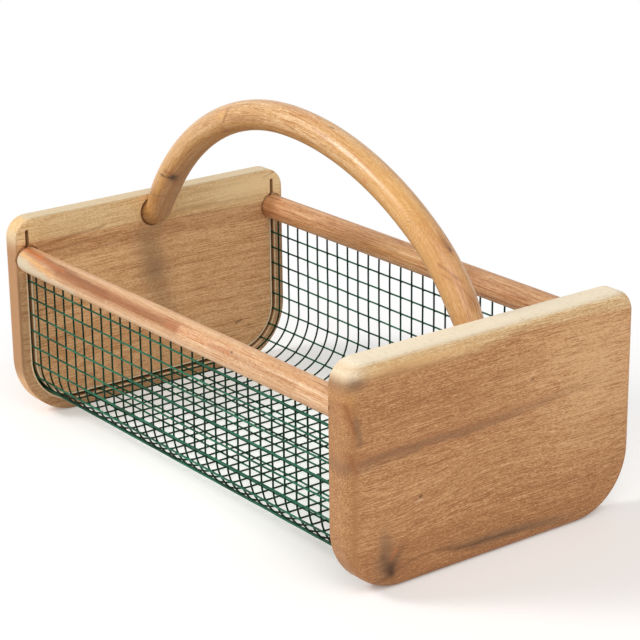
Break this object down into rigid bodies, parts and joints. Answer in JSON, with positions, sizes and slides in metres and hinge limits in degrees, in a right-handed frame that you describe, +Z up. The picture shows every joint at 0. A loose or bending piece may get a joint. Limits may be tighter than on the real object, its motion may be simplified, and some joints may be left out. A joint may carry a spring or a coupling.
{
  "type": "garden hod",
  "caption": "Open garden hod with wooden end boards, round rails, a bent wooden carrying handle and a U-shaped coated wire net.",
  "frame": {"origin": "middle of the hod's footprint, on the surface it stands on", "axes": "+X along the rails from the left board to the right board, +Y across from the front rail to the back rail, +Z up"},
  "size_m": [0.409, 0.2404, 0.2559],
  "materials": {
    "board_wood": "oiled straight-grained wood, satin",
    "rail_wood": "oiled turned wood, satin",
    "handle_wood": "oiled bent wood, satin with a soft shine",
    "green_coating": "dark green coating on welded wire, semi-gloss"
  },
  "bodies": {
    "root": {"left_end_board": "board_wood", "right_end_board": "board_wood", "front_rail": "rail_wood", "back_rail": "rail_wood", "handle": "handle_wood", "wire_net": "green_coating"}
  },
  "joints": []
}
